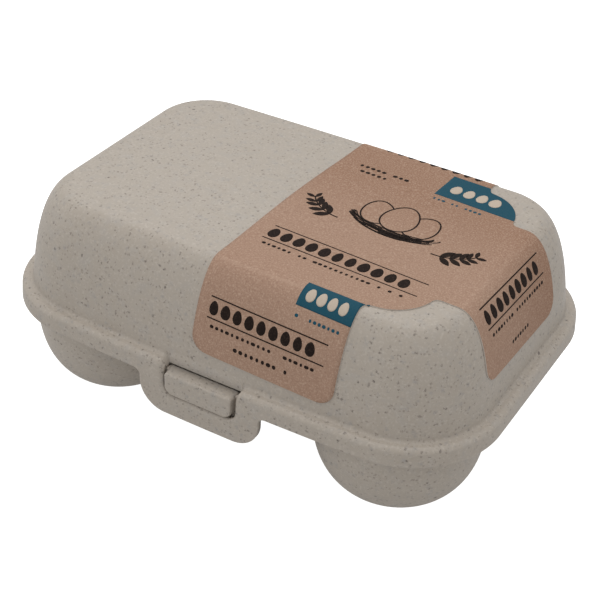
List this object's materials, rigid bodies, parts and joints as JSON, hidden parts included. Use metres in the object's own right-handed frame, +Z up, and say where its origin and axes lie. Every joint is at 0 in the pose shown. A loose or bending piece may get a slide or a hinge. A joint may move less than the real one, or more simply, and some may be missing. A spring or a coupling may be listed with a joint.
{
  "type": "egg box",
  "caption": "Shut rounded egg box in speckled moulded plastic: domed lid with a rim and front latch tab, base with round egg cups for feet, paper label wrapped over one end.",
  "frame": {"origin": "on the floor under the middle of the box, level with the feet of the egg cups", "axes": "+Z up, +X along the length towards the labelled end, -Y towards the latch at the front"},
  "size_m": [0.16, 0.1106, 0.0678],
  "materials": {
    "lid_plastic": "satin moulded plastic, warm grey beige with fine dark and bluish flecks",
    "base_plastic": "satin moulded plastic, warm grey beige with fine dark and bluish flecks",
    "label_paper": "uncoated brown kraft paper with fine fibres",
    "label_ink": "matt black print",
    "label_teal": "matt teal print"
  },
  "bodies": {
    "root": {"lid": "lid_plastic", "base": "base_plastic", "label": "label_paper"}
  },
  "joints": []
}
